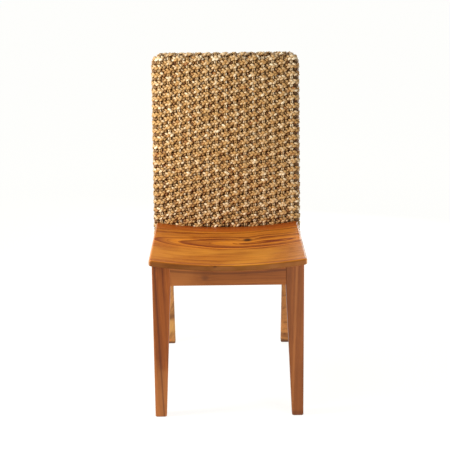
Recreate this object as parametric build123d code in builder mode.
"""Dining chair: a solid teak frame and dished seat, with a back wrapped in woven rope.

The chair faces -Y and stands on Z = 0. Its origin is on the floor, under the middle of
the chair's overall width and depth. All sizes are in millimetres and degrees.
"""

import os
from math import atan2, cos, degrees, pi, radians, sin, sqrt, tan

from build123d import *

os.makedirs("parts", exist_ok=True)

# ---------------------------------------------------------------- driving dimensions

# Front legs: square at the top, tapered on the two inner faces below the aprons
front_leg_inset = 8.2  # outer faces inside the front corners of the seat
front_leg_width = 50.0
front_leg_depth = 44.0
front_foot_width = 32.0
front_foot_depth = 34.0
front_leg_edge_round = 2.5
foot_chamfer = 3.0

# Aprons under the seat
apron_drop = 80.0  # lower edges below the front corners of the seat
apron_thickness = 20.0
front_apron_setback = 1.5  # behind the front face of the legs
side_apron_inset = 4.0  # inside the outer face of the legs

# Mortise and tenon joints
tenon_thickness = 9.0
apron_tenon_length = 22.0
rail_tenon_length = 18.0
batten_tenon_length = 8.0
tenon_shoulder = 7.0
mortise_clearance = 0.15
mortise_end_gap = 1.0

# Seat: edge-glued boards, dished from side to side and falling towards the back
seat_corner_height = 472.0  # top of the front corners
seat_fall = 3.4
seat_depth = 458.6  # front edge to the woven back
seat_front_width = 435.4
seat_taper = 2.0  # on each side, from front to rear
seat_thickness = 18.0
seat_dish_radius = 1360.0
seat_front_overhang = 12.0
seat_corner_radius = 9.0
seat_top_round = 6.0
seat_bottom_round = 4.0
front_board_width = 175.0
rear_board_width = 66.0
trim_allowance = 40.0  # left past each edge of the seat before it is cut to its outline

# Rear legs: one piece from foot to the top of the back, bent at a knee below the weave
post_outset = 3.5  # outer faces outside those of the front legs
post_width = 43.0
post_depth = 32.0
post_edge_round = 3.5
post_top_round = 14.0  # outer top corner, seen from the front
back_rake = 10.0
rear_foot_setback = 122.1  # front face of the rear feet behind the rear edge of the seat
rear_foot_depth = 32.0
knee_drop = 31.0  # from the lower edge of the weave down to the knee

# Rails between the rear legs
top_rail_height = 45.0
middle_rail_height = 40.0
middle_rail_depth = 24.0
rear_apron_height = 50.0

# Woven back
back_length = 510.0  # from the level of the seat's rear corners up to the top of the weave
weave_top_radius = 18.0
weave_corner_round = 24.0  # middle of the rope round the back's upper corners, from the front
weave_clearance = 0.2
warp_count = 15
outer_warp_inset = 13.5  # middle of the outermost warps inside the outer faces of the posts
warp_width = 8.0
warp_thickness = 4.0
weft_pitch = 12.0
weft_height = 11.4
weft_thickness = 9.5
upper_rows = 13
middle_rows = 14
skirt_rows = 3  # rows below the seat, round the back and sides only

# Batten under the rear edge of the seat
batten_thickness = 22.0
seat_to_weave_clearance = 0.3

# Corner blocks and screws
block_leg_length = 60.0
block_height = 30.0
block_rise = 8.0  # above the lower edge of the aprons
screw_head_radius = 3.8
screw_shank_radius = 2.0
block_screw_length = 32.0
block_screw_bite = 12.0  # into the apron
block_screw_offset = 20.0  # from the leg
block_seat_screw_offset = 8.0  # from the leg's inner face
seat_screw_bite = 11.0  # into the seat
batten_screw_spacing = 220.0
screw_hole_clearance = 0.1

# Wooden plug near the foot of the left rear leg
plug_radius = 4.0
plug_depth = 8.0
plug_height = 15.0  # up the front face of the leg
plug_from_inner_face = 15.5

# ---------------------------------------------------------------- derived sizes

overall_depth = seat_depth + rear_foot_setback + rear_foot_depth
seat_front_y = -overall_depth / 2
leg_front_y = seat_front_y + seat_front_overhang
leg_rear_y = leg_front_y + front_leg_depth
leg_outer_x = seat_front_width / 2 - front_leg_inset
leg_inner_x = leg_outer_x - front_leg_width
post_outer_x = leg_outer_x + post_outset
post_inner_x = post_outer_x - post_width
apron_bottom_height = seat_corner_height - apron_drop

fall = radians(seat_fall)
rake = radians(back_rake)
seat_rear_y = seat_front_y + seat_depth
seat_rear_height = seat_corner_height - seat_depth * tan(fall)

weave_proud = 2 * weave_clearance + warp_thickness + weft_thickness
slab_half = post_depth / 2 + weave_proud
weft_x = post_outer_x + weave_clearance + weft_thickness / 2
weft_depth = slab_half - weft_thickness / 2
weft_corner = post_edge_round + warp_thickness + weft_thickness / 2
frame_top = back_length - weave_proud
frame_round = weave_top_radius - weave_proud

front_apron_front_y = leg_front_y + front_apron_setback
front_apron_rear_y = front_apron_front_y + apron_thickness
side_apron_outer_x = leg_outer_x - side_apron_inset
side_apron_inner_x = side_apron_outer_x - apron_thickness
cheek = (apron_thickness - tenon_thickness) / 2
above_everything = seat_corner_height + seat_thickness


def sagitta(radius, half_width):
    """Depth of an arc of this radius over half of its chord."""
    return radius - sqrt(radius**2 - half_width**2)


def seat_middle_height(y):
    """Height of the seat's lowest line, along its middle, at y."""
    corner = seat_corner_height - sagitta(seat_dish_radius, seat_front_width / 2)
    return corner - (y - seat_front_y) * tan(fall)


def underside_height(x, y):
    """Height of the underside of the seat at x, y."""
    lower_radius = seat_dish_radius + seat_thickness
    drop = seat_thickness - sagitta(lower_radius, x)
    return seat_middle_height(y) - drop / cos(fall)


def seat_plane(run):
    """Plane across the seat, run behind its front edge: X to the right, Y up, Z forward."""
    y = seat_front_y + run * cos(fall)
    origin = (0, y, seat_middle_height(y))
    return Plane(origin=origin, x_dir=(1, 0, 0), z_dir=(0, -cos(fall), sin(fall)))


def back_point(depth, height):
    """World Y, Z of a point in the back: depth behind its middle, height up along it."""
    middle_y = seat_rear_y + slab_half * cos(rake)
    middle_z = seat_rear_height - slab_half * sin(rake)
    y = middle_y + depth * cos(rake) + height * sin(rake)
    z = middle_z - depth * sin(rake) + height * cos(rake)
    return y, z


def back_plane(height):
    """Plane across the back at a height: X to the right, Y rearward, Z up along it."""
    y, z = back_point(0, height)
    return Plane(origin=(0, y, z), x_dir=(1, 0, 0), z_dir=(0, sin(rake), cos(rake)))


def back_side_plane(x):
    """Plane along the back at x: X rearward, Y up along the back, Z to the right."""
    y, z = back_point(0, 0)
    return Plane(origin=(x, y, z), x_dir=(0, cos(rake), -sin(rake)), z_dir=(1, 0, 0))


def back_front_plane():
    """Plane along the middle of the back: X to the right, Y up along the back, Z forward."""
    y, z = back_point(0, 0)
    return Plane(origin=(0, y, z), x_dir=(1, 0, 0), z_dir=(0, -cos(rake), sin(rake)))


def post_front_y(z):
    """Y of the front face of the rear legs' upper part at a height above the floor."""
    y, base = back_point(-post_depth / 2, 0)
    return y + (z - base) * tan(rake)


def block(low, high, grow=(0, 0, 0), mode=Mode.ADD):
    """Box between two corners, grown by the same amount on both sides along each axis."""
    middle = [(a + b) / 2 for a, b in zip(low, high)]
    size = [b - a + 2 * g for a, b, g in zip(low, high, grow)]
    with Locations(tuple(middle)):
        Box(*size, mode=mode)


def back_block(low, high, grow=(0, 0, 0), mode=Mode.ADD):
    """Box between two corners given as x, depth and height in the back."""
    middle = [(a + b) / 2 for a, b in zip(low, high)]
    size = [b - a + 2 * g for a, b, g in zip(low, high, grow)]
    with Locations(back_plane(middle[2]).location * Location((middle[0], middle[1], 0))):
        Box(*size, mode=mode)


def across(low_x, high_x, side):
    """The same pair of X values on the right (side 1) or left (side -1), in order."""
    return sorted((side * low_x, side * high_x))


def steep(edge):
    """True for an edge that climbs more than it runs level."""
    return abs((edge @ 1 - edge @ 0).Z) > edge.length / 2


def save(part, name):
    """Label a finished piece and write it."""
    part.label = name
    export_step(part, f"parts/{name}.step")


def save_group(pieces, name):
    """Write several separate solids as one node."""
    with BuildPart() as group:
        add(pieces)
    save(group.part, name)


sides = {"left": -1, "right": 1}

# ---------------------------------------------------------------- rows of the weave

weft_roll = weave_top_radius - weft_thickness / 2
top_flat_half = slab_half - weave_top_radius
roll_length = weft_roll * pi / 2
straight_top = back_length - weave_top_radius
least_corner = weft_height / 2 + weave_clearance / 2


def row_place(index):
    """Half depth, height and tilt of a rope row, counted down from the top row.

    The rows lie weft_pitch apart along a line that runs flat over the top, rolls round
    the top edge and goes straight down the face.
    """
    run = least_corner + index * weft_pitch - top_flat_half
    if run < 0:
        return run + top_flat_half, straight_top + weft_roll, 90.0
    if run < roll_length:
        turn = run / weft_roll
        depth = top_flat_half + weft_roll * sin(turn)
        return depth, straight_top + weft_roll * cos(turn), 90 - degrees(turn)
    return weft_depth, straight_top - (run - roll_length), 0.0


def apron_clear_height():
    """Lowest height in the back at which a row still passes over the side aprons."""
    rear_y = post_front_y(seat_rear_height)
    top = underside_height(side_apron_outer_x, rear_y)
    return (top - back_point(-weft_depth, 0)[1]) / cos(rake) + weft_height / 2


first_straight = 0
while row_place(first_straight)[2] > 0:
    first_straight += 1
full_rows = first_straight
while row_place(full_rows)[1] > apron_clear_height():
    full_rows += 1
lowest_full_row = row_place(full_rows - 1)[1]
weave_bottom = row_place(full_rows + skirt_rows - 1)[1] - weft_height / 2

# ---------------------------------------------------------------- knee of the rear legs

knee_front = back_point(-post_depth / 2, weave_bottom - knee_drop)
foot_front_y = seat_rear_y + rear_foot_setback
kick = atan2(foot_front_y - knee_front[0], knee_front[1])
knee_turn = rake + kick
knee_rise = post_depth * tan(knee_turn / 2)
knee_back = back_point(post_depth / 2, weave_bottom - knee_drop + knee_rise)
knee_radius = knee_drop / tan(knee_turn / 2)

# ---------------------------------------------------------------- tenons, as pairs of corners


def front_apron_tenon(side):
    """Tenon of the front apron into a front leg."""
    x = across(leg_inner_x, leg_inner_x + apron_tenon_length, side)
    y = front_apron_front_y + cheek
    top = underside_height(leg_inner_x, y) - tenon_shoulder
    return (
        (x[0], y, apron_bottom_height + tenon_shoulder),
        (x[1], y + tenon_thickness, top),
    )


def side_apron_tenon(side, end):
    """Tenon of a side apron into its front leg or its rear leg."""
    x = across(side_apron_inner_x + cheek, side_apron_outer_x - cheek, side)
    low_z = apron_bottom_height + tenon_shoulder
    if end == "front":
        y = (leg_rear_y - apron_tenon_length, leg_rear_y)
    else:
        y = (post_front_y(low_z), post_front_y(low_z) + apron_tenon_length)
    top = underside_height(side_apron_inner_x, y[1]) - tenon_shoulder
    return (x[0], y[0], low_z), (x[1], y[1], top)


def rail_tenon(side, low, high):
    """Tenon of a rail that lies between two heights in the back, as a back_block."""
    x = across(post_inner_x, post_inner_x + rail_tenon_length, side)
    half = tenon_thickness / 2
    return (x[0], -half, low + tenon_shoulder), (x[1], half, high - tenon_shoulder)


def batten_tenon(side):
    """Stub tenon of the seat batten into a side apron."""
    x = across(side_apron_inner_x, side_apron_inner_x + batten_tenon_length, side)
    y = batten_rear_y - (batten_thickness + tenon_thickness) / 2
    top = underside_height(side_apron_inner_x, y + tenon_thickness) - tenon_shoulder
    return (x[0], y, apron_bottom_height + tenon_shoulder), (x[1], y + tenon_thickness, top)


apron_mortise = (mortise_end_gap, mortise_clearance, mortise_clearance)
post_mortise = (mortise_clearance, mortise_end_gap, mortise_clearance)
rear_apron_bottom = weave_bottom + warp_thickness + weave_clearance
middle_rail_bottom = (rear_apron_bottom + frame_top - middle_rail_height) / 2
rails = {
    "back_top_rail": (frame_top - top_rail_height, frame_top),
    "back_middle_rail": (middle_rail_bottom, middle_rail_bottom + middle_rail_height),
    "rear_apron": (rear_apron_bottom, rear_apron_bottom + rear_apron_height),
}
batten_rear_y = (
    seat_rear_y
    - (seat_rear_height - apron_bottom_height) * tan(rake)
    - seat_to_weave_clearance
)

# ---------------------------------------------------------------- space above the seat's underside

with BuildPart() as above_underside:
    with BuildSketch(seat_plane(overall_depth)):
        with BuildLine():
            half = seat_front_width
            edge = sagitta(seat_dish_radius + seat_thickness, half) - seat_thickness
            ThreePointArc((-half, edge), (0, -seat_thickness), (half, edge))
            Polyline(
                (half, edge),
                (half, above_everything),
                (-half, above_everything),
                (-half, edge),
            )
        make_face()
    extrude(amount=2 * overall_depth)

# ---------------------------------------------------------------- screws


def screw(point, direction, length):
    """Countersunk wood screw with its head's face at point, driven along direction."""
    drive = Vector(*direction)
    sideways = Vector(0, 0, 1) if abs(drive.Z) < abs(drive.X + drive.Y) else Vector(1, 0, 0)
    head_depth = screw_head_radius - screw_shank_radius
    with BuildPart() as piece:
        plane = Plane(origin=point, x_dir=sideways, z_dir=sideways.cross(drive))
        with BuildSketch(plane):
            with BuildLine():
                Polyline(
                    (0, 0),
                    (screw_head_radius, 0),
                    (screw_shank_radius, head_depth),
                    (screw_shank_radius, length - screw_shank_radius),
                    (0, length),
                    close=True,
                )
            make_face()
        revolve(axis=Axis(point, drive))
    return piece.part


def screw_hole(point, direction, length):
    """Hole for a screw, with a little room all round it."""
    drive = Vector(*direction)
    middle = Vector(*point) + drive * (length / 2)
    hole = Plane(origin=middle, z_dir=drive).location
    with Locations(hole):
        Cylinder(
            screw_shank_radius + screw_hole_clearance, length + 2 * screw_hole_clearance,
            mode=Mode.SUBTRACT,
        )
    head_depth = screw_head_radius - screw_shank_radius + screw_hole_clearance
    sink = Vector(*point) + drive * (head_depth / 2 - screw_hole_clearance / 2)
    with Locations(Plane(origin=sink, z_dir=drive).location):
        Cone(
            screw_head_radius + 2 * screw_hole_clearance,
            screw_shank_radius + screw_hole_clearance,
            head_depth + screw_hole_clearance,
            mode=Mode.SUBTRACT,
        )


block_low_z = apron_bottom_height + block_rise
block_mid_z = block_low_z + block_height / 2
block_far_x = leg_inner_x - block_leg_length
block_far_y = leg_rear_y + block_leg_length


def block_screws(side):
    """Screws of one corner block: into the front apron and into the side apron."""
    front_x = side * (leg_inner_x - block_screw_offset)
    side_y = leg_rear_y + block_screw_offset
    head_y = front_apron_rear_y - block_screw_bite + block_screw_length
    head_x = side * (side_apron_inner_x + block_screw_bite - block_screw_length)
    return [
        ((front_x, head_y, block_mid_z), (0, -1, 0)),
        ((head_x, side_y, block_mid_z), (side, 0, 0)),
    ]


def seat_screw(x, y, head_z):
    """Screw driven up into the seat at x, y from a head at head_z."""
    return (x, y, head_z), underside_height(x, y) + seat_screw_bite - head_z


block_screw_x = leg_inner_x - block_seat_screw_offset
batten_screw_y = batten_rear_y - batten_thickness / 2
block_seat_screws = [
    seat_screw(side * block_screw_x, leg_rear_y, block_low_z) for side in sides.values()
]
batten_seat_screws = [
    seat_screw(side * batten_screw_spacing / 2, batten_screw_y, apron_bottom_height)
    for side in sides.values()
]
seat_screws = block_seat_screws + batten_seat_screws

# ---------------------------------------------------------------- front legs


def front_leg_section(side, width, depth, inset=0):
    """Rounded section of a front leg, flush with its outer and front faces, less an inset."""
    with Locations((side * (leg_outer_x - width / 2), leg_front_y + depth / 2)):
        RectangleRounded(width - 2 * inset, depth - 2 * inset, front_leg_edge_round)


def front_leg(side):
    """Front leg: foot chamfer, taper up to the aprons, then square up to the seat."""
    with BuildPart() as leg:
        with BuildSketch(Plane.XY):
            front_leg_section(side, front_foot_width, front_foot_depth, foot_chamfer)
        with BuildSketch(Plane.XY.offset(foot_chamfer)):
            front_leg_section(side, front_foot_width, front_foot_depth)
        loft()
        with BuildSketch(Plane.XY.offset(foot_chamfer)):
            front_leg_section(side, front_foot_width, front_foot_depth)
        with BuildSketch(Plane.XY.offset(apron_bottom_height)):
            front_leg_section(side, front_leg_width, front_leg_depth)
        loft()
        with BuildSketch(Plane.XY.offset(apron_bottom_height)):
            front_leg_section(side, front_leg_width, front_leg_depth)
        extrude(amount=above_everything - apron_bottom_height)
        add(above_underside.part, mode=Mode.SUBTRACT)
        block(*front_apron_tenon(side), grow=apron_mortise, mode=Mode.SUBTRACT)
        block(*side_apron_tenon(side, "front"), grow=post_mortise, mode=Mode.SUBTRACT)
    return leg.part


for name, side in sides.items():
    save(front_leg(side), f"front_leg_{name}")

# ---------------------------------------------------------------- rear legs

foot_rear_y = foot_front_y + rear_foot_depth
plug_x = -(post_inner_x + plug_from_inner_face)
plug_drive = Vector(0, cos(kick), sin(kick))
plug_face = Vector(plug_x, foot_front_y - plug_height * sin(kick), plug_height * cos(kick))


def rear_leg(side):
    """Rear leg: raked foot, knee and post, with mortises for the rails and side apron."""
    with BuildPart() as leg:
        start_x = min(across(post_inner_x, post_outer_x, side))
        with BuildSketch(Plane.YZ.offset(start_x)):
            with BuildLine():
                FilletPolyline(
                    (foot_front_y, 0),
                    knee_front,
                    back_point(-post_depth / 2, frame_top),
                    back_point(post_depth / 2, frame_top),
                    knee_back,
                    (foot_rear_y, 0),
                    radius=[knee_radius, frame_round, frame_round, knee_radius - post_depth],
                )
                Line((foot_rear_y, 0), (foot_front_y, 0))
            make_face()
        extrude(amount=post_width)
        fillet(leg.edges().filter_by(steep), post_edge_round)
        chamfer(leg.faces().sort_by(Axis.Z)[0].edges(), foot_chamfer)
        with BuildSketch(back_front_plane()):
            outward = Align.MIN if side > 0 else Align.MAX
            with Locations((side * (post_outer_x - post_top_round), frame_top - post_top_round)):
                Rectangle(2 * post_top_round, 2 * post_top_round, align=(outward, Align.MIN))
                Circle(post_top_round, mode=Mode.SUBTRACT)
        extrude(amount=post_depth, both=True, mode=Mode.SUBTRACT)
        for low, high in rails.values():
            back_block(*rail_tenon(side, low, high), grow=apron_mortise, mode=Mode.SUBTRACT)
        block(*side_apron_tenon(side, "rear"), grow=post_mortise, mode=Mode.SUBTRACT)
        if side < 0:
            with Locations(Plane(origin=plug_face, z_dir=plug_drive).location):
                Cylinder(plug_radius, 2 * plug_depth, mode=Mode.SUBTRACT)
    return leg.part


for name, side in sides.items():
    save(rear_leg(side), f"rear_leg_{name}")

with BuildPart() as foot_plug:
    plug_middle = plug_face + plug_drive * plug_depth / 2
    with Locations(Plane(origin=plug_middle, z_dir=plug_drive).location):
        Cylinder(plug_radius, plug_depth)
save(foot_plug.part, "foot_plug")

# ---------------------------------------------------------------- aprons and batten

with BuildPart() as front_apron:
    block(
        (-leg_inner_x, front_apron_front_y, apron_bottom_height),
        (leg_inner_x, front_apron_rear_y, above_everything),
    )
    add(above_underside.part, mode=Mode.SUBTRACT)
    for side in sides.values():
        block(*front_apron_tenon(side))
        screw_hole(*block_screws(side)[0], block_screw_length)
save(front_apron.part, "front_apron")


def side_apron(side):
    """Side apron: square to the front leg, cut to the rake of the rear leg."""
    with BuildPart() as apron:
        start_x = min(across(side_apron_inner_x, side_apron_outer_x, side))
        with BuildSketch(Plane.YZ.offset(start_x)):
            with BuildLine():
                Polyline(
                    (leg_rear_y, apron_bottom_height),
                    (leg_rear_y, above_everything),
                    (post_front_y(above_everything), above_everything),
                    (post_front_y(apron_bottom_height), apron_bottom_height),
                    close=True,
                )
            make_face()
        extrude(amount=apron_thickness)
        add(above_underside.part, mode=Mode.SUBTRACT)
        block(*side_apron_tenon(side, "front"))
        block(*side_apron_tenon(side, "rear"))
        block(*batten_tenon(side), grow=apron_mortise, mode=Mode.SUBTRACT)
        screw_hole(*block_screws(side)[1], block_screw_length)
    return apron.part


for name, side in sides.items():
    save(side_apron(side), f"side_apron_{name}")

with BuildPart() as seat_batten:
    block(
        (-side_apron_inner_x, batten_rear_y - batten_thickness, apron_bottom_height),
        (side_apron_inner_x, batten_rear_y, above_everything),
    )
    add(above_underside.part, mode=Mode.SUBTRACT)
    for side in sides.values():
        block(*batten_tenon(side))
    for point, length in batten_seat_screws:
        screw_hole(point, (0, 0, 1), length)
save(seat_batten.part, "seat_batten")

# ---------------------------------------------------------------- rails of the back


def back_rail(low, high, depth, soft):
    """Rail between the rear legs with a tenon at each end; soft picks its rounded edges."""
    with BuildPart() as rail:
        with BuildSketch(back_side_plane(-post_inner_x)) as profile:
            with Locations((0, (low + high) / 2)):
                Rectangle(depth, high - low)
            fillet(profile.vertices().sort_by(Axis.Y)[soft], frame_round)
        extrude(amount=2 * post_inner_x)
        for side in sides.values():
            back_block(*rail_tenon(side, low, high))
    return rail.part


rail_depths = {
    "back_top_rail": post_depth,
    "back_middle_rail": middle_rail_depth,
    "rear_apron": post_depth,
}
soft_corners = {
    "back_top_rail": slice(2, 4),
    "back_middle_rail": slice(0, 4),
    "rear_apron": slice(0, 2),
}
for name, (low, high) in rails.items():
    save(back_rail(low, high, rail_depths[name], soft_corners[name]), name)

# ---------------------------------------------------------------- corner blocks


def corner_block(side):
    """Block in a front corner, notched round the leg."""
    with BuildPart() as corner:
        with BuildSketch(Plane.XY.offset(block_low_z)):
            with BuildLine():
                Polyline(
                    (side * block_far_x, front_apron_rear_y),
                    (side * leg_inner_x, front_apron_rear_y),
                    (side * leg_inner_x, leg_rear_y),
                    (side * side_apron_inner_x, leg_rear_y),
                    (side * side_apron_inner_x, block_far_y),
                    close=True,
                )
            make_face()
        extrude(amount=block_height)
        for point, direction in block_screws(side):
            screw_hole(point, direction, block_screw_length)
        for point, length in block_seat_screws:
            screw_hole(point, (0, 0, 1), length)
    return corner.part


for name, side in sides.items():
    save(corner_block(side), f"corner_block_{name}")

corner_block_screws = [
    screw(point, direction, block_screw_length)
    for side in sides.values()
    for point, direction in block_screws(side)
]
save_group(corner_block_screws, "corner_block_screws")
save_group([screw(point, (0, 0, 1), length) for point, length in seat_screws], "seat_screws")

# ---------------------------------------------------------------- seat boards

seat_run = seat_depth / cos(fall)


def dished_faces(seat):
    """The seat's lower and upper faces."""
    return seat.faces().filter_by(GeomType.CYLINDER).sort_by(SortBy.AREA)[-2:].sort_by(Axis.Z)


with BuildPart() as seat:
    with BuildSketch(seat_plane(seat_run + trim_allowance)):
        with BuildLine():
            half = seat_front_width / 2 + trim_allowance
            upper = sagitta(seat_dish_radius, half)
            lower = sagitta(seat_dish_radius + seat_thickness, half) - seat_thickness
            ThreePointArc((-half, upper), (0, 0), (half, upper))
            Line((half, upper), (half, lower))
            ThreePointArc((half, lower), (0, -seat_thickness), (-half, lower))
            Line((-half, lower), (-half, upper))
        make_face()
    extrude(amount=seat_run + 2 * trim_allowance)
    with BuildSketch(Plane.XY) as plan:
        far_half = seat_front_width / 2 - seat_taper * (1 + trim_allowance / seat_depth)
        with BuildLine():
            Polyline(
                (-seat_front_width / 2, seat_front_y),
                (seat_front_width / 2, seat_front_y),
                (far_half, seat_rear_y + trim_allowance),
                (-far_half, seat_rear_y + trim_allowance),
                close=True,
            )
        make_face()
    extrude(amount=2 * above_everything, mode=Mode.INTERSECT)
    fillet(seat.edges().filter_by(Axis.Z).group_by(Axis.Y)[0], seat_corner_radius)
    rear_plane = Plane(
        origin=(0, seat_rear_y - seat_to_weave_clearance, seat_rear_height),
        x_dir=(1, 0, 0),
        z_dir=(0, cos(rake), -sin(rake)),
    )
    split(bisect_by=rear_plane, keep=Keep.BOTTOM)
    fillet(dished_faces(seat)[1].edges().sort_by(Axis.Y)[:-1], seat_top_round)
    fillet(dished_faces(seat)[0].edges().sort_by(Axis.Y)[:-1], seat_bottom_round)
    for point, length in seat_screws:
        screw_hole(point, (0, 0, 1), length)

rear_joint = seat_run - rear_board_width
boards = {
    "seat_board_front": (None, front_board_width),
    "seat_board_middle": (front_board_width, rear_joint),
    "seat_board_rear": (rear_joint, None),
}
for name, (front_joint, back_joint) in boards.items():
    with BuildPart() as board:
        add(seat.part)
        if front_joint is not None:
            split(bisect_by=seat_plane(front_joint), keep=Keep.BOTTOM)
        if back_joint is not None:
            split(bisect_by=seat_plane(back_joint), keep=Keep.TOP)
    save(board.part, name)

# ---------------------------------------------------------------- warps


def warp(x, front_end=None, back_end=None):
    """Flat strand pair round the back's frame, closed under the apron unless it has ends."""
    inner_half = post_depth / 2 + weave_clearance
    low = rear_apron_bottom - weave_clearance
    if back_end is not None:
        low = back_end - 2 * slab_half
    high = frame_top + weave_clearance
    cut_low = low - 2 * warp_thickness
    with BuildPart() as strand:
        with BuildSketch(back_side_plane(x - warp_width / 2)):
            with Locations((0, (low + high) / 2)):
                RectangleRounded(
                    2 * (inner_half + warp_thickness),
                    high - low + 2 * warp_thickness,
                    frame_round + weave_clearance + warp_thickness,
                )
                RectangleRounded(
                    2 * inner_half, high - low, frame_round + weave_clearance, mode=Mode.SUBTRACT
                )
            for end, depth_sign in ((front_end, -1), (back_end, 1)):
                if end is not None:
                    with Locations((depth_sign * slab_half / 2, (cut_low + end) / 2)):
                        Rectangle(slab_half, end - cut_low, mode=Mode.SUBTRACT)
        extrude(amount=warp_width)
    return strand.part


outer_warp_x = post_outer_x - outer_warp_inset
warp_pitch = 2 * outer_warp_x / (warp_count - 1)
warp_xs = [i * warp_pitch - outer_warp_x for i in range(warp_count)]
clear_of_posts = post_inner_x - warp_width / 2
warps_between_posts = [x for x in warp_xs if abs(x) <= clear_of_posts]
warps_on_posts = [x for x in warp_xs if abs(x) > clear_of_posts]
save_group([warp(x) for x in warps_between_posts], "warp_loops")
save_group(
    [warp(x, lowest_full_row - weft_height / 2, weave_bottom) for x in warps_on_posts],
    "warp_hairpins",
)

# ---------------------------------------------------------------- wefts


def row_half_width(index):
    """Half width of a rope row along its middle.

    The upper rows are drawn in round the back's upper corners, and a row that lies flat on
    top is one pitch inside the next row down.
    """
    depth, height, tilt = row_place(index)
    if tilt == 90:
        return row_half_width(index + 1) - weft_pitch
    corner_start = back_length - weft_thickness / 2 - weave_corner_round
    drawn_in = sagitta(weave_corner_round, max(height - corner_start, 0))
    return weft_x - max(weft_depth - depth, drawn_in)


def weft_row(index):
    """One turn of oval rope round the frame and the warps; below the seat it is open in front."""
    depth, height, tilt = row_place(index)
    inset = weft_depth - depth
    corner = max(weft_corner - inset, least_corner)
    half_x = row_half_width(index)
    straight_x = half_x - corner
    straight_depth = depth - corner
    with BuildPart() as rope:
        with BuildLine(back_plane(height)) as path:
            Line((-straight_x, depth), (straight_x, depth))
            JernArc((straight_x, depth), (1, 0), corner, -90)
            if straight_depth > 0:
                Line((half_x, straight_depth), (half_x, -straight_depth))
            JernArc((half_x, -straight_depth), (0, -1), corner, -90)
            if index < full_rows:
                Line((straight_x, -depth), (-straight_x, -depth))
            JernArc((-straight_x, -depth), (-1, 0), corner, -90)
            if straight_depth > 0:
                Line((-half_x, -straight_depth), (-half_x, straight_depth))
            JernArc((-half_x, straight_depth), (0, 1), corner, -90)
        section = Plane(
            origin=path.line @ 0, x_dir=back_plane(height).z_dir, z_dir=path.line % 0
        )
        with BuildSketch(section):
            Ellipse(weft_height / 2, weft_thickness / 2, rotation=tilt)
        sweep(path=path.line)
    return rope.part


bands = {
    "weft_top_edge": first_straight,
    "weft_upper": upper_rows,
    "weft_middle": middle_rows,
    "weft_lower": full_rows - first_straight - upper_rows - middle_rows,
    "weft_skirt": skirt_rows,
}
first_row = 0
for name, count in bands.items():
    save_group([weft_row(first_row + i) for i in range(count)], name)
    first_row += count
